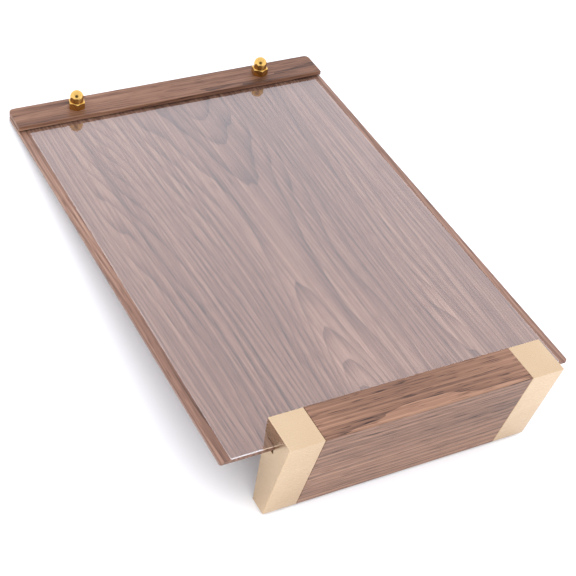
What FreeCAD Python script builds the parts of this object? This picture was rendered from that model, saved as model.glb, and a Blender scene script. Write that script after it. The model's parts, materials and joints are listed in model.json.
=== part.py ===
import FreeCAD, Part
import math
import os

# Table-top display stand for one A4 sheet.
#
# A thin board carries a clear cover. A clamp bar, two bolts and two cap nuts hold both at the far end.
# The near end is pushed into the slot of a wedge-shaped base with a metal cap at each end.
#
# The pieces are modelled in the board's frame: X across the board, Y from the end in the base to the
# clamped end, Z out of the show face. X = 0 is the board's left side, Y = 0 its near end and Z = 0 its
# show face. The whole stand is then laid on its back, as it lies on a table, with its near end raised by
# the base, and its origin goes to the middle of the footprint.

os.makedirs("parts", exist_ok=True)

Vector = FreeCAD.Vector
X_AXIS = Vector(1, 0, 0)
Y_AXIS = Vector(0, 1, 0)
Z_AXIS = Vector(0, 0, 1)

# Board
board_width = 222.0
board_length = 328.0
board_thickness = 2.4
board_near_radius = 1.5
far_corner_radius = 3.5
board_edge_break = 0.25

# Clear cover
cover_thickness = 1.2
cover_side_inset = 6.0
cover_far_inset = 6.0
cover_corner_radius = 1.0
cover_edge_break = 0.15

# Clamp bar
bar_depth = 21.5
bar_thickness = 3.2
bar_near_radius = 0.5
bar_edge_break = 0.35

# Clamp bolts and cap nuts, metric size 6
bolt_spacing = 135.0
bolt_diameter = 6.0
bolt_head_diameter = 15.0
bolt_head_height = 1.8
bolt_head_round = 0.7
bolt_tip_bevel = 0.6
bolt_thread_in_nut = 6.0
bolt_socket_flats = 4.0
bolt_socket_depth = 2.6
board_bolt_clearance = 0.2
clamp_bolt_clearance = 0.4
nut_thread_clearance = 0.05
nut_flats = 10.0
nut_hex_height = 5.0
nut_dome_diameter = 9.0
nut_height = 12.5
nut_bore_depth = 8.0
nut_chamfer_angle = 30.0
nut_face_diameter = 9.6
nut_corner_angles = {"left": 17.0, "right": 23.0}

# Base
base_length = 173.6
base_offset = 7.0
base_width = 68.3
base_front_thickness = 26.2
lean_angle = 14.0
back_angle = 2.9
slot_depth = 10.6
slot_width = 6.0
slot_clearance = 0.15
slot_mouth_bevel = 0.6
front_lip_thickness = 12.0
cap_length = 21.2
cap_edge_bevel = 0.4
core_edge_round = 0.4
core_end_bevel = 0.2

# Dowel pins between base core and end caps
dowel_diameter = 5.0
dowel_length = 24.0
dowel_bevel = 0.5
dowel_glue_gap = 0.05
dowel_end_gap = 0.5
rear_dowel_depth = 46.0

# Mesh fineness used to find the resting line and the middle of the footprint
outline_fineness = 0.02

# Places worked out from the sizes
bolt_y = board_length - bar_depth / 2
bolt_places = {
    "left": (board_width - bolt_spacing) / 2,
    "right": (board_width + bolt_spacing) / 2,
}
bar_bottom = cover_thickness
bar_top = bar_bottom + bar_thickness
slot_top = cover_thickness + slot_clearance
slot_bottom = slot_top - slot_width
base_front = slot_top + front_lip_thickness
base_rear = base_front - base_width
base_left = (board_width - base_length) / 2 + base_offset
base_right = base_left + base_length
lean_slope = math.tan(math.radians(lean_angle))
back_slope = math.tan(math.radians(back_angle))
lip_middle = slot_top + front_lip_thickness / 2
dowel_levels = {"front": lip_middle, "rear": base_front - rear_dowel_depth}


def back_y(z):
    """Y of the base's back face at height z; the slot is cut into this face."""
    return slot_depth + (slot_top - z) * back_slope


def foot_y(z):
    """Y of the base's slanted foot face at height z."""
    return back_y(base_front) - base_front_thickness + (base_front - z) * lean_slope


def block(x_range, y_range, z_range):
    """Box between two values along each axis."""
    size = [high - low for low, high in (x_range, y_range, z_range)]
    return Part.makeBox(*size, Vector(x_range[0], y_range[0], z_range[0]))


def straight_edges(shape, direction, wanted=lambda middle: True):
    """Straight edges of a shape along a direction whose middle point is wanted."""
    found = []
    for edge in shape.Edges:
        if not isinstance(edge.Curve, Part.Line):
            continue
        along = abs(edge.tangentAt(edge.FirstParameter).dot(direction)) > 0.999
        if along and wanted(edge.CenterOfMass):
            found.append(edge)
    return found


def face_outline(shape, normal):
    """Edges round the flat faces that look along a normal."""
    edges = []
    for face in shape.Faces:
        if isinstance(face.Surface, Part.Plane) and face.normalAt(0, 0).dot(normal) > 0.999:
            edges.extend(face.OuterWire.Edges)
    return edges


def plate(x_range, y_range, z_range, near_radius, far_radius, edge_break):
    """Flat plate with rounded corners at its near and far ends and softened face edges."""
    shape = block(x_range, y_range, z_range)
    middle_y = sum(y_range) / 2
    near = straight_edges(shape, Z_AXIS, lambda middle: middle.y < middle_y)
    shape = shape.makeFillet(near_radius, near)
    far = straight_edges(shape, Z_AXIS, lambda middle: middle.y > y_range[1] - near_radius / 2)
    shape = shape.makeFillet(far_radius, far)
    rims = face_outline(shape, Z_AXIS) + face_outline(shape, -Z_AXIS)
    return shape.makeChamfer(edge_break, rims)


def rod(radius, start, length, direction):
    """Round bar from a start point along a direction."""
    return Part.makeCylinder(radius, length, start, direction)


def hexagon_bar(flats, corner_angle, place, height):
    """Six-sided bar standing on a point, with one corner at the given angle from X."""
    corner_radius = flats / math.sqrt(3)
    corners = []
    for number in range(7):
        angle = math.radians(corner_angle + 60 * number)
        corners.append(place + Vector(math.cos(angle), math.sin(angle), 0) * corner_radius)
    return Part.Face(Part.makePolygon(corners)).extrude(Z_AXIS * height)


def turned(profile, place):
    """Solid of revolution about Z from (radius, height) points, standing on a place."""
    points = [place + Vector(radius, 0, height) for radius, height in profile]
    outline = Part.makePolygon(points + points[:1])
    return Part.Face(outline).revolve(place, Z_AXIS, 360)


def bolt_holes(clearance, z_range):
    """Round cutters for both bolts, through one plate."""
    radius = bolt_diameter / 2 + clearance
    low, high = z_range
    cutters = []
    for x in bolt_places.values():
        cutters.append(rod(radius, Vector(x, bolt_y, low - 1), high - low + 2, Z_AXIS))
    return cutters


def back_board():
    """Walnut-faced board with two bolt holes."""
    z_range = (-board_thickness, 0)
    shape = plate((0, board_width), (0, board_length), z_range,
                  board_near_radius, far_corner_radius, board_edge_break)
    return shape.cut(bolt_holes(board_bolt_clearance, z_range))


def acrylic_cover():
    """Clear sheet, narrower than the board, from the slot to under the clamp bar."""
    z_range = (0, cover_thickness)
    shape = plate((cover_side_inset, board_width - cover_side_inset),
                  (0, board_length - cover_far_inset), z_range,
                  cover_corner_radius, cover_corner_radius, cover_edge_break)
    return shape.cut(bolt_holes(clamp_bolt_clearance, z_range))


def clamp_bar():
    """Walnut bar across the far end, flush with the board's sides and end."""
    z_range = (bar_bottom, bar_top)
    shape = plate((0, board_width), (board_length - bar_depth, board_length), z_range,
                  bar_near_radius, far_corner_radius, bar_edge_break)
    return shape.cut(bolt_holes(clamp_bolt_clearance, z_range))


def clamp_bolt(side):
    """Low-headed bolt from behind the board, with a hexagon socket."""
    radius = bolt_diameter / 2
    head_radius = bolt_head_diameter / 2
    head_top = bolt_head_height
    tip = head_top + board_thickness + bar_top + bolt_thread_in_nut
    place = Vector(bolt_places[side], bolt_y, -board_thickness - bolt_head_height)
    profile = [
        (0, 0),
        (head_radius - bolt_head_round, 0),
        (head_radius, bolt_head_round),
        (head_radius, head_top),
        (radius, head_top),
        (radius, tip - bolt_tip_bevel),
        (radius - bolt_tip_bevel, tip),
        (0, tip),
    ]
    socket = hexagon_bar(bolt_socket_flats, 0, place, bolt_socket_depth)
    return turned(profile, place).cut(socket)


def cap_nut(side):
    """Domed cap nut: bevelled hexagon, round neck and dome, with a blind bore."""
    place = Vector(bolt_places[side], bolt_y, bar_top)
    corner_radius = nut_flats / math.sqrt(3)
    face_radius = nut_face_diameter / 2
    bevel_height = (corner_radius - face_radius) * math.tan(math.radians(nut_chamfer_angle))
    envelope = turned([
        (0, 0),
        (face_radius, 0),
        (corner_radius, bevel_height),
        (corner_radius, nut_hex_height - bevel_height),
        (face_radius, nut_hex_height),
        (0, nut_hex_height),
    ], place)
    hexagon = hexagon_bar(nut_flats, nut_corner_angles[side], place, nut_hex_height)
    dome_radius = nut_dome_diameter / 2
    dome_centre = nut_height - dome_radius
    neck = rod(dome_radius, place, dome_centre, Z_AXIS)
    dome = Part.makeSphere(dome_radius, place + Z_AXIS * dome_centre)
    bore_radius = bolt_diameter / 2 + nut_thread_clearance
    bore = rod(bore_radius, place - Z_AXIS, nut_bore_depth + 1, Z_AXIS)
    body = hexagon.common(envelope).fuse([neck, dome]).removeSplitter()
    return body.cut(bore)


def base_section(x):
    """Wedge outline of the base at one X, with the slot open at its back."""
    mouth_low = slot_bottom - slot_mouth_bevel
    mouth_high = slot_top + slot_mouth_bevel
    outline = [
        (back_y(base_front), base_front),
        (foot_y(base_front), base_front),
        (foot_y(base_rear), base_rear),
        (back_y(base_rear), base_rear),
        (back_y(mouth_low), mouth_low),
        (back_y(slot_bottom) - slot_mouth_bevel, slot_bottom),
        (0, slot_bottom),
        (0, slot_top),
        (back_y(slot_top) - slot_mouth_bevel, slot_top),
        (back_y(mouth_high), mouth_high),
    ]
    points = [Vector(x, y, z) for y, z in outline]
    return Part.Face(Part.makePolygon(points + points[:1]))


def is_outer_corner(middle):
    """True at the wedge's four outer corners, away from the slot."""
    return abs(middle.z - base_front) < 0.01 or abs(middle.z - base_rear) < 0.01


def dowel_place(level):
    """Y and Z of a dowel: in the middle of the wedge at its level."""
    z = dowel_levels[level]
    return (foot_y(z) + back_y(z)) / 2, z


def dowel_joints():
    """X of the joint between core and cap on each side."""
    return {"left": base_left + cap_length, "right": base_right - cap_length}


def dowel_holes(side):
    """Cutters for both dowels of one joint."""
    radius = dowel_diameter / 2 + dowel_glue_gap
    length = dowel_length + 2 * dowel_end_gap
    start_x = dowel_joints()[side] - length / 2
    cutters = []
    for level in dowel_levels:
        y, z = dowel_place(level)
        cutters.append(rod(radius, Vector(start_x, y, z), length, X_AXIS))
    return cutters


def base_core():
    """Walnut wedge between the two end caps."""
    joints = dowel_joints()
    shape = base_section(joints["left"]).extrude(X_AXIS * (joints["right"] - joints["left"]))
    shape = shape.makeFillet(core_edge_round, straight_edges(shape, X_AXIS, is_outer_corner))
    ends = face_outline(shape, X_AXIS) + face_outline(shape, -X_AXIS)
    shape = shape.makeChamfer(core_end_bevel, ends)
    return shape.cut(dowel_holes("left") + dowel_holes("right"))


def end_cap(side):
    """Solid metal end of the base, slotted like the core, with bevelled edges."""
    start = {"left": base_left, "right": base_right - cap_length}[side]
    shape = base_section(start).extrude(X_AXIS * cap_length)
    rims = straight_edges(shape, X_AXIS, is_outer_corner)
    rims += face_outline(shape, X_AXIS) + face_outline(shape, -X_AXIS)
    return shape.makeChamfer(cap_edge_bevel, rims).cut(dowel_holes(side))


def dowel_pin(side, level):
    """Steel pin with bevelled ends, half in the core and half in the cap."""
    y, z = dowel_place(level)
    start = Vector(dowel_joints()[side] - dowel_length / 2, y, z)
    pin = rod(dowel_diameter / 2, start, dowel_length, X_AXIS)
    rims = [edge for edge in pin.Edges if isinstance(edge.Curve, Part.Circle)]
    return pin.makeChamfer(dowel_bevel, rims)


def lower_outline(points):
    """Lower convex outline of (y, z) points, from near to far."""
    outline = []
    for y, z in sorted(set(points)):
        while len(outline) > 1:
            (y0, z0), (y1, z1) = outline[-2:]
            if (y1 - y0) * (z - z0) - (z1 - z0) * (y - y0) > 0:
                break
            outline.pop()
        outline.append((y, z))
    return outline


def resting_angle(shapes):
    """Slope of the line under the stand's centre that touches it at the base and at the far end."""
    points = []
    for shape in shapes:
        corners = shape.tessellate(outline_fineness)[0]
        points.extend((corner.y, corner.z) for corner in corners)
    outline = lower_outline(points)
    volume = sum(shape.Volume for shape in shapes)
    centre_y = sum(shape.CenterOfMass.y * shape.Volume for shape in shapes) / volume
    for (y0, z0), (y1, z1) in zip(outline, outline[1:]):
        if y0 <= centre_y <= y1:
            return math.degrees(math.atan2(z1 - z0, y1 - y0))


def resting_placement(shapes):
    """Turn about X onto the resting line, then shift to the middle of the footprint."""
    turn = FreeCAD.Placement(Vector(), FreeCAD.Rotation(X_AXIS, -resting_angle(shapes)))
    box = FreeCAD.BoundBox()
    for shape in shapes:
        for corner in shape.tessellate(outline_fineness)[0]:
            box.add(turn.multVec(corner))
    shift = Vector(-box.Center.x, -box.Center.y, -box.ZMin)
    return FreeCAD.Placement(shift, turn.Rotation)


pieces = {
    "back_board": back_board(),
    "acrylic_cover": acrylic_cover(),
    "clamp_bar": clamp_bar(),
    "base_core": base_core(),
}
for side in ("left", "right"):
    pieces[side + "_clamp_bolt"] = clamp_bolt(side)
    pieces[side + "_cap_nut"] = cap_nut(side)
    pieces[side + "_end_cap"] = end_cap(side)
    for level in dowel_levels:
        pieces[side + "_" + level + "_dowel"] = dowel_pin(side, level)

solids = {name: shape.Solids[0] for name, shape in pieces.items()}
placement = resting_placement(list(solids.values()))
for name, shape in solids.items():
    placed = shape.transformed(placement.toMatrix(), True)
    placed.exportStep("parts/" + name + ".step")
    print(name, "solids", len(pieces[name].Solids), "valid", placed.isValid(), "volume", round(placed.Volume, 1))
print("resting angle", round(math.degrees(placement.Rotation.Angle), 4), "shift", placement.Base)
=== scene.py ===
# %% [markdown]
# A table-top display stand: a thin walnut board, a clear cover over it, a walnut clamp bar with two domed
# cap nuts, and a wedge-shaped walnut base with satin gold ends. The sizes and places all come from the
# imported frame, so this lesson is about finishes: open-pored walnut, clear acrylic, anodised aluminium and
# polished brass.

# %% Load the frame
import json
import math

import bmesh
import bpy
import numpy as np
from mathutils import Matrix, Vector


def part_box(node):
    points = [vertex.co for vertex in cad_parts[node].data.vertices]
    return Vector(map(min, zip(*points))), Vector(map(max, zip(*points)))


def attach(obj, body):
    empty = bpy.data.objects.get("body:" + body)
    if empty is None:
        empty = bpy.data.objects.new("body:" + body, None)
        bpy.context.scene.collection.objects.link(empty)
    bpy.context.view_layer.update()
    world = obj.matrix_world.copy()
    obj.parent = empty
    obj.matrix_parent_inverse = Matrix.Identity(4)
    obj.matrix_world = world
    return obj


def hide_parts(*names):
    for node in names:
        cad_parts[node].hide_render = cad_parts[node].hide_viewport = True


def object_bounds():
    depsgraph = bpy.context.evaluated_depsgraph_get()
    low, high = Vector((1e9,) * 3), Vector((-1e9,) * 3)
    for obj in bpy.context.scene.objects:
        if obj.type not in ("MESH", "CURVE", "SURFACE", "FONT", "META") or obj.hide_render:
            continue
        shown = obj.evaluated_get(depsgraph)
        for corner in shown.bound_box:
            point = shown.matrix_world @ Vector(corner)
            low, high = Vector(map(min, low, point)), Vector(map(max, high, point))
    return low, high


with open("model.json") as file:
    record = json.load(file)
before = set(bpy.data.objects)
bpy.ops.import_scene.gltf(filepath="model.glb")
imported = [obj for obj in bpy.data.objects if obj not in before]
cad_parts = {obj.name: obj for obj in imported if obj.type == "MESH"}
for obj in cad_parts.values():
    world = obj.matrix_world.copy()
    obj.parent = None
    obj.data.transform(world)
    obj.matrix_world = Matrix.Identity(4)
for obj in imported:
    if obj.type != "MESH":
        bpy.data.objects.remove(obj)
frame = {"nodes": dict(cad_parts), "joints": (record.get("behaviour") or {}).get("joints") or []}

cad_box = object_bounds()
MM = 0.001
scene = bpy.context.scene
scene.view_settings.view_transform = "Standard"
print("frame box", [[round(v, 4) for v in corner] for corner in cad_box])

# %% [markdown]
# The stand lies on its back, so its board slopes down from the base to the clamp bar. Wood grain, the
# camera and new pieces are easier to place square to the board than square to the table. The clamp bar
# lifts along the board's normal, so that joint's axis gives the slope, and one matrix turns board places
# into table places.

# %% The board's own axes
joints = {joint["name"]: joint for joint in frame["joints"]}
board_normal = Vector(joints["clamp_lift"]["axis"])
board_slope = math.atan2(board_normal.y, board_normal.z)
to_table = Matrix.Rotation(-board_slope, 4, "X")
from_table = to_table.inverted()


def flat_corners(node):
    """Lowest and highest corners of a node measured along the board's axes, in metres."""
    mesh = frame["nodes"][node].data
    places = np.empty(len(mesh.vertices) * 3, np.float32)
    mesh.vertices.foreach_get("co", places)
    turned = places.reshape(-1, 3) @ np.array(from_table.to_3x3()).T
    return turned.min(0), turned.max(0)


board_low, board_high = flat_corners("back_board")
board_corner = Vector((board_low[0], board_low[1], board_high[2]))
board_size = board_high - board_low
print("board slope", round(math.degrees(board_slope), 3), "degrees, size mm", np.round(board_size / MM, 2))

# %% [markdown]
# Colours are chosen as sRGB hex values, the way a paint chart gives them, but shaders count light in linear
# amounts. One function does that change, and one small function adds a shader node with its settings and
# links, so that each material reads like a recipe.

# %% Colour and node helpers


def linear(hex_colour):
    """Linear red, green, blue and full alpha of an sRGB hex colour."""
    shares = [int(hex_colour[i:i + 2], 16) / 255 for i in (1, 3, 5)]
    return [s / 12.92 if s <= 0.04045 else ((s + 0.055) / 1.055) ** 2.4 for s in shares] + [1.0]


def add(tree, kind, settings=None, **links):
    """Add a node: settings are its attributes, links are input values or the sockets that feed them."""
    node = tree.nodes.new("ShaderNode" + kind)
    for name, value in (settings or {}).items():
        setattr(node, name, value)
    for name, value in links.items():
        key = int(name[1:]) if name[0] == "i" and name[1:].isdigit() else name.replace("_", " ")
        if isinstance(value, bpy.types.NodeSocket):
            tree.links.new(value, node.inputs[key])
        else:
            node.inputs[key].default_value = value
    return node


def new_material(name):
    """An empty material with a principled shader linked to its output."""
    material = bpy.data.materials.new(name)
    material.use_nodes = True
    tree = material.node_tree
    tree.nodes.clear()
    shader = add(tree, "BsdfPrincipled")
    add(tree, "OutputMaterial", Surface=shader.outputs["BSDF"])
    return material, tree, shader


def ramp(tree, factor, stops):
    """A colour ramp through (place, hex colour) stops."""
    node = add(tree, "ValToRGB", Fac=factor)
    elements = node.color_ramp.elements
    while len(elements) < len(stops):
        elements.new(0.5)
    for element, (place, colour) in zip(elements, stops):
        element.position = place
        element.color = linear(colour)
    return node.outputs["Color"]


def maths(tree, operation, first, second=0.0, third=0.0):
    """One arithmetic step on numbers or sockets."""
    return add(tree, "Math", {"operation": operation}, i0=first, i1=second, i2=third).outputs[0]


def noise(tree, place, scale, detail=3.0, roughness=0.5, distortion=0.0):
    """Soft noise from 0 to 1; scale counts blobs per metre."""
    node = add(tree, "TexNoise", None, Vector=place, Scale=scale, Detail=detail,
               Roughness=roughness, Distortion=distortion)
    return node.outputs["Fac"]


print("helpers ready")

# %% [markdown]
# Walnut veneer is a thin slice through a tree's growth rings. Cut lengthways near the heart, the slice meets
# each ring twice and the rings close into long pointed arches. The rings here are really that: the distance
# from a tree axis that bows under the board, cut by the board's surface, so the arches point inwards from
# both ends. A slow wander in the axis gives them their uneven shape. Each ring darkens slowly and ends in a
# sharp line. Over the rings lie the pores, dark hair-fine scratches a few tenths of a millimetre wide and
# a centimetre or more long. The lacquer is satin: rougher in the pores, which are also slightly sunk.

# %% Walnut pattern sizes
FIGURE_STRETCH = (1.0, 0.13, 1.0)
STREAK_STRETCH = (1.0, 0.009, 1.0)
PORE_STRETCH = (1.0, 0.04, 1.0)
WANDER_SCALE = 13.0    # blobs per metre, so about 80 mm across the grain
WOBBLE_SCALE = 55.0    # about 18 mm
CLOUD_SCALE = 11.0     # about 90 mm
STREAK_SCALE = 620.0   # about 1.6 mm
PORE_SCALE = 1700.0    # about 0.6 mm, twice a real pore's width, so that it shows
WANDER_REACH = 0.11    # metres that the tree axis may stray sideways
RING_SHARE = 0.34      # how much each pattern counts in the wood's tone
STREAK_SHARE = 1.15
CLOUD_SHARE = 0.8
pore_width = 1 / PORE_SCALE / MM
print("pores mm wide", round(pore_width, 2), "and long", round(pore_width / PORE_STRETCH[1], 1))

# %% Walnut


def walnut(name, turn, middle, heart, bow, ring, roughness, pores, shades):
    """Lacquered walnut: rings round a bowed tree axis, pores along it, and a satin lacquer.

    turn is the Euler turn that brings the grain along Y, middle the point the pattern is centred on,
    heart how far the tree axis lies from it, bow how fast the axis nears the surface with the square of
    the distance along the grain, ring the growth ring width and pores how dark the pores are. shades are
    the dark, middle and light wood colours.
    """
    material, tree, shader = new_material(name)
    place = add(tree, "TexCoord").outputs["Object"]
    moved = add(tree, "VectorMath", {"operation": "SUBTRACT"}, i0=place, i1=tuple(middle)).outputs[0]
    grain = add(tree, "Mapping", None, Vector=moved, Rotation=turn).outputs[0]
    slow = add(tree, "Mapping", None, Vector=grain, Scale=FIGURE_STRETCH).outputs[0]
    wander = noise(tree, slow, WANDER_SCALE, 2.0, 0.45)
    wobble = noise(tree, slow, WOBBLE_SCALE, 3.0, 0.55)
    parts = add(tree, "SeparateXYZ", None, Vector=grain)
    across, along, deep = (parts.outputs[axis] for axis in "XYZ")
    side = maths(tree, "MULTIPLY_ADD", wander, WANDER_REACH,
                 maths(tree, "SUBTRACT", across, WANDER_REACH / 2))
    squared = maths(tree, "MULTIPLY", along, along)
    depth = maths(tree, "MULTIPLY_ADD", squared, -bow, maths(tree, "ADD", deep, heart))
    curve = add(tree, "CombineXYZ", None, X=side, Y=0.0, Z=depth).outputs[0]
    radius = add(tree, "VectorMath", {"operation": "LENGTH"}, i0=curve).outputs["Value"]
    uneven = maths(tree, "ADD", wobble, maths(tree, "DIVIDE", radius, ring))
    year = maths(tree, "FRACT", uneven)
    late = maths(tree, "POWER", year, 3.5)
    fine = add(tree, "Mapping", None, Vector=grain, Scale=STREAK_STRETCH).outputs[0]
    streak = noise(tree, fine, STREAK_SCALE, 3.0, 0.65)
    pore = add(tree, "Mapping", None, Vector=grain, Scale=PORE_STRETCH).outputs[0]
    scratch = noise(tree, pore, PORE_SCALE, 1.0, 0.4)
    open_pore = add(tree, "MapRange", {"interpolation_type": "SMOOTHSTEP"}, Value=scratch,
                    From_Min=0.57, From_Max=0.68).outputs[0]
    cloud = noise(tree, slow, CLOUD_SCALE, 2.0, 0.5)
    tone = maths(tree, "MULTIPLY_ADD", late, -RING_SHARE, 0.60)
    tone = maths(tree, "MULTIPLY_ADD", maths(tree, "SUBTRACT", streak, 0.5), STREAK_SHARE, tone)
    tone = maths(tree, "MULTIPLY_ADD", maths(tree, "SUBTRACT", cloud, 0.5), CLOUD_SHARE, tone)
    tone = maths(tree, "MULTIPLY_ADD", open_pore, -pores, tone)
    dark, middle_shade, light = shades
    colour = ramp(tree, tone, [(0.0, dark), (0.5, middle_shade), (1.0, light)])
    tree.links.new(colour, shader.inputs["Base Color"])
    rough = maths(tree, "MULTIPLY_ADD", open_pore, 0.12, roughness)
    rough = maths(tree, "MULTIPLY_ADD", streak, 0.08, rough)
    tree.links.new(rough, shader.inputs["Roughness"])
    height = maths(tree, "MULTIPLY_ADD", open_pore, -1.0, maths(tree, "MULTIPLY", streak, 0.35))
    bump = add(tree, "Bump", None, Strength=0.45, Distance=0.05 * MM, Height=height)
    tree.links.new(bump.outputs["Normal"], shader.inputs["Normal"])
    shader.inputs["IOR"].default_value = 1.5
    shader.inputs["Specular IOR Level"].default_value = 0.3
    print(name, "ring width mm", round(ring / MM, 1))
    return material


BOARD_SHADES = ("#3a2820", "#775748", "#a98874")
BAR_SHADES = ("#331e14", "#6d4a37", "#9c7760")
BASE_SHADES = ("#33201a", "#7b5844", "#a9836a")
LENGTHWAYS = (board_slope, 0.0, 0.0)
CROSSWAYS = (board_slope, 0.0, math.pi / 2)


def middle_of(node):
    """The middle of a node's box."""
    return (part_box(node)[0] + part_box(node)[1]) / 2


board_walnut = walnut("walnut_board", LENGTHWAYS, middle_of("back_board"), heart=26 * MM, bow=0.8,
                      ring=4.6 * MM, roughness=0.36, pores=0.16, shades=BOARD_SHADES)
bar_walnut = walnut("walnut_bar", CROSSWAYS, middle_of("clamp_bar"), heart=45 * MM, bow=0.2,
                    ring=4.0 * MM, roughness=0.42, pores=0.26, shades=BAR_SHADES)
base_walnut = walnut("walnut_base", CROSSWAYS, middle_of("base_core"), heart=60 * MM, bow=0.3,
                     ring=4.2 * MM, roughness=0.38, pores=0.36, shades=BASE_SHADES)


def finish(material, *nodes):
    """Give CAD nodes one material in place of the plain one they came with."""
    for name in nodes:
        slots = frame["nodes"][name].material_slots
        for slot in slots:
            slot.material = material
        if not slots:
            frame["nodes"][name].data.materials.append(material)


finish(board_walnut, "back_board")
finish(bar_walnut, "clamp_bar")
finish(base_walnut, "base_core")

# %% [markdown]
# The cover is cast acrylic: clear, with an index of refraction of 1.49, so each face mirrors about a
# twentieth of the room at this slant and more further away. That mirror is what veils the wood under it. A
# sheet this thin hardly bends what is seen through it, so it is drawn as a film: a plain mirror whose alpha is
# the share of light that it mirrors, and the rest goes straight through. Two faces mirror nearly twice what
# one does. The film mirrors 2.4 times as much, because this room is dimmer than a studio's light tent. Only
# faces that the light enters mirror, and the polished edges, which pipe light, are more solid. Handling
# leaves faint wipe marks, which only change the roughness. The sheet lies on the board with no gap, and two
# faces in one place can flicker, so a copy of the sheet has its underside raised by a tenth of a millimetre.

# %% Clear acrylic
acrylic, tree, shader = new_material("cast_acrylic")
coordinates = add(tree, "TexCoord")
smears = noise(tree, coordinates.outputs["Object"], 18.0, 4.0, 0.6, 1.5)
tree.links.new(maths(tree, "MULTIPLY_ADD", smears, 0.05, 0.015), shader.inputs["Roughness"])
tint = ramp(tree, noise(tree, coordinates.outputs["Object"], 3.0), [(0.0, "#f4f6fa"), (1.0, "#fbfbfd")])
tree.links.new(tint, shader.inputs["Base Color"])
shader.inputs["Metallic"].default_value = 1.0
MIRROR_FACES = 2.4
EDGE_SHARE = 0.45
squareness = add(tree, "VectorMath", {"operation": "DOT_PRODUCT"}, i0=coordinates.outputs["Normal"],
                 i1=tuple(board_normal)).outputs["Value"]
edge = maths(tree, "SUBTRACT", 1.0, maths(tree, "ABSOLUTE", squareness))
mirror = maths(tree, "MULTIPLY", add(tree, "Fresnel", None, IOR=1.49).outputs[0], MIRROR_FACES)
share = maths(tree, "MULTIPLY_ADD", edge, EDGE_SHARE, mirror)
entered = maths(tree, "SUBTRACT", 1.0, add(tree, "NewGeometry").outputs["Backfacing"])
alpha = maths(tree, "MINIMUM", maths(tree, "MULTIPLY", share, entered), 1.0)
tree.links.new(alpha, shader.inputs["Alpha"])
print("acrylic ready, mirroring as", MIRROR_FACES, "faces")

# %% The cover with its underside just clear of the board
UNDERSIDE_GAP = 0.1 * MM
cover_mesh = frame["nodes"]["acrylic_cover"].data.copy()
cover_mesh.name = "cover_sheet"
shell = bmesh.new()
shell.from_mesh(cover_mesh)
bmesh.ops.remove_doubles(shell, verts=shell.verts, dist=0.001 * MM)
shell.to_mesh(cover_mesh)
shell.free()
places = np.empty(len(cover_mesh.vertices) * 3, np.float32)
cover_mesh.vertices.foreach_get("co", places)
places = places.reshape(-1, 3)
heights = places @ np.array(board_normal)
underside = heights < heights.min() + UNDERSIDE_GAP / 2
places += np.outer(underside, np.array(board_normal) * UNDERSIDE_GAP)
cover_mesh.vertices.foreach_set("co", places.astype(np.float32).ravel())
cover_mesh.update()
cover_mesh.materials.clear()
cover_mesh.materials.append(acrylic)
cover = bpy.data.objects.new("cover_sheet", cover_mesh)
scene.collection.objects.link(cover)
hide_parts("acrylic_cover")
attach(cover, "cover")
print("cover:", len(cover_mesh.vertices), "vertices,", int(underside.sum()), "raised")

# %% [markdown]
# The ends of the base are solid aluminium, blasted or brushed very finely and anodised a pale champagne
# gold. Anodising keeps the metal's satin look: soft reflections with a hint of direction from the brushing.
# The brushing is finer than a render can show, so it is drawn at about a third of a millimetre and kept weak.

# %% Satin gold aluminium
gold, tree, shader = new_material("anodised_aluminium")
place = add(tree, "TexCoord").outputs["Object"]
turned = add(tree, "Mapping", None, Vector=place, Rotation=LENGTHWAYS, Scale=(0.03, 1.0, 1.0)).outputs[0]
BRUSH_SCALE = 3000.0   # lines per metre, so about 0.33 mm apart
brush = noise(tree, turned, BRUSH_SCALE, 2.0, 0.6)
patch = noise(tree, place, 30.0, 2.0)
tree.links.new(ramp(tree, patch, [(0.3, "#c7ac8a"), (0.7, "#cdb493")]), shader.inputs["Base Color"])
rough = maths(tree, "MULTIPLY_ADD", brush, 0.10, 0.22)
tree.links.new(rough, shader.inputs["Roughness"])
bump = add(tree, "Bump", None, Strength=0.08, Distance=0.02 * MM, Height=brush)
tree.links.new(bump.outputs["Normal"], shader.inputs["Normal"])
shader.inputs["Metallic"].default_value = 1.0
finish(gold, "left_end_cap", "right_end_cap")
print("gold aluminium ready")

# %% [markdown]
# The cap nuts and bolts are brass, polished and gold plated. Polished metal shows the room almost as a
# mirror, and only faint polishing marks blur it.

# %% Polished gold brass
brass, tree, shader = new_material("polished_brass")
place = add(tree, "TexCoord").outputs["Object"]
marks = noise(tree, place, 1500.0, 3.0, 0.6)
tree.links.new(maths(tree, "MULTIPLY_ADD", marks, 0.06, 0.05), shader.inputs["Roughness"])
tree.links.new(ramp(tree, marks, [(0.2, "#c99c4e"), (0.8, "#deb96e")]), shader.inputs["Base Color"])
shader.inputs["Metallic"].default_value = 1.0
finish(brass, "left_clamp_bolt", "right_clamp_bolt", "left_cap_nut", "right_cap_nut")
print("brass ready")

# %% [markdown]
# The dowels that hold the ends on the base are ground steel pins. They lie inside and never show, but they
# have the fine dull shine that grinding leaves, for anyone who takes the base apart.

# %% Ground steel
steel, tree, shader = new_material("ground_steel")
place = add(tree, "TexCoord").outputs["Object"]
lines = noise(tree, place, 900.0, 2.0)
tree.links.new(ramp(tree, lines, [(0.2, "#9c9d9f"), (0.8, "#b9babc")]), shader.inputs["Base Color"])
tree.links.new(maths(tree, "MULTIPLY_ADD", lines, 0.15, 0.25), shader.inputs["Roughness"])
shader.inputs["Metallic"].default_value = 1.0
finish(steel, *[node for node in frame["nodes"] if node.endswith("_dowel")])
print("metals ready")

# %% [markdown]
# The stand is lit as in a product studio: a bright white room, a little brighter low down, which the acrylic
# and the metal mirror, a large soft lamp overhead for gentle shading, and a pale floor. One side of the room
# is dark, as behind a viewer, because polished metal looks flat when everything that it mirrors is white.

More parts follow.
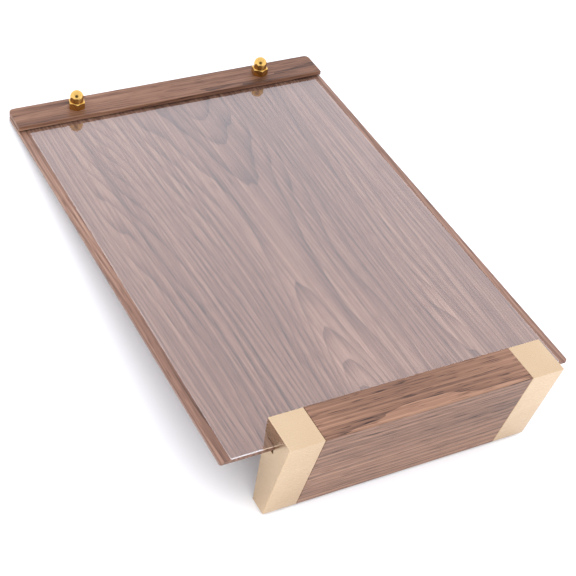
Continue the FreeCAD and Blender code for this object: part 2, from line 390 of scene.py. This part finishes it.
# %% Floor
FLOOR_HALF = 3.0
FLOOR_GAP = 0.2 * MM
floor_mesh = bpy.data.meshes.new("studio_floor")
floor_corners = [(x * FLOOR_HALF, y * FLOOR_HALF, 0) for x, y in ((-1, -1), (1, -1), (1, 1), (-1, 1))]
floor_mesh.from_pydata(floor_corners, [], [(0, 1, 2, 3)])
floor = bpy.data.objects.new("studio_floor", floor_mesh)
scene.collection.objects.link(floor)
floor.location.z = cad_box[0].z - FLOOR_GAP
pale, tree, shader = new_material("studio_floor_paint")
place = add(tree, "TexCoord").outputs["Object"]
tree.links.new(ramp(tree, noise(tree, place, 4.0), [(0.0, "#f4f4f4"), (1.0, "#f8f8f8")]),
               shader.inputs["Base Color"])
shader.inputs["Roughness"].default_value = 0.6
shader.inputs["Specular IOR Level"].default_value = 0.2
floor_mesh.materials.append(pale)
print("floor", 2 * FLOOR_HALF, "m square")

# %% Room
DARK_SIDE = Vector((-0.35, -0.62, 0.70)).normalized()
world = bpy.data.worlds.new("white_room")
scene.world = world
world.use_nodes = True
tree = world.node_tree
direction = add(tree, "TexCoord").outputs["Generated"]
rise = add(tree, "SeparateXYZ", None, Vector=direction).outputs["Z"]
walls = add(tree, "MapRange", {"interpolation_type": "SMOOTHSTEP"}, Value=rise,
            From_Min=0.30, From_Max=0.75, To_Min=1.70, To_Max=1.50).outputs[0]
facing = add(tree, "VectorMath", {"operation": "DOT_PRODUCT"}, i0=direction,
             i1=tuple(DARK_SIDE)).outputs["Value"]
shade = add(tree, "MapRange", {"interpolation_type": "SMOOTHSTEP"}, Value=facing,
            From_Min=0.80, From_Max=0.97, To_Min=1.0, To_Max=0.12).outputs[0]
room = tree.nodes["Background"]
room.inputs["Color"].default_value = linear("#f4f6ff")
tree.links.new(maths(tree, "MULTIPLY", walls, shade), room.inputs["Strength"])
print("room ready, dark towards", [round(v, 2) for v in DARK_SIDE])

# %% Lamp


def soft_lamp(name, place, target, size, power):
    """A square area lamp that shines from a place towards a target and isn't mirrored in the cover."""
    data = bpy.data.lights.new(name, "AREA")
    data.shape = "SQUARE"
    data.size = size
    data.energy = power
    lamp = bpy.data.objects.new(name, data)
    lamp.location = place
    lamp.rotation_euler = (Vector(target) - Vector(place)).to_track_quat("-Z", "Y").to_euler()
    lamp.visible_glossy = False
    scene.collection.objects.link(lamp)


soft_lamp("overhead_lamp", (-0.35, -0.55, 1.25), (0, 0, 0), 1.4, 16.0)
print("lamp ready")

# %% [markdown]
# The camera looks down over the near left corner. Its place is kept in the board's own axes, measured from
# the board's near left corner, and one matrix brings it to the table.

# %% Camera
camera_place = Vector((-270.70, -463.34, 585.06)) * MM
camera_forward = Vector((0.40876, 0.63950, -0.65112)).normalized()
camera_up = Vector((0.22241, 0.62213, 0.75066)).normalized()
data = bpy.data.cameras.new("camera")
data.lens = 95.23
data.sensor_width = 36.0
data.clip_start = 0.01
camera = bpy.data.objects.new("camera", data)
right = camera_forward.cross(camera_up)
axes = Matrix((right, camera_up, -camera_forward)).transposed().to_4x4()
camera.matrix_world = to_table @ Matrix.Translation(board_corner + camera_place) @ axes
scene.collection.objects.link(camera)
scene.camera = camera
print("camera", [round(v, 4) for v in camera.matrix_world.translation])
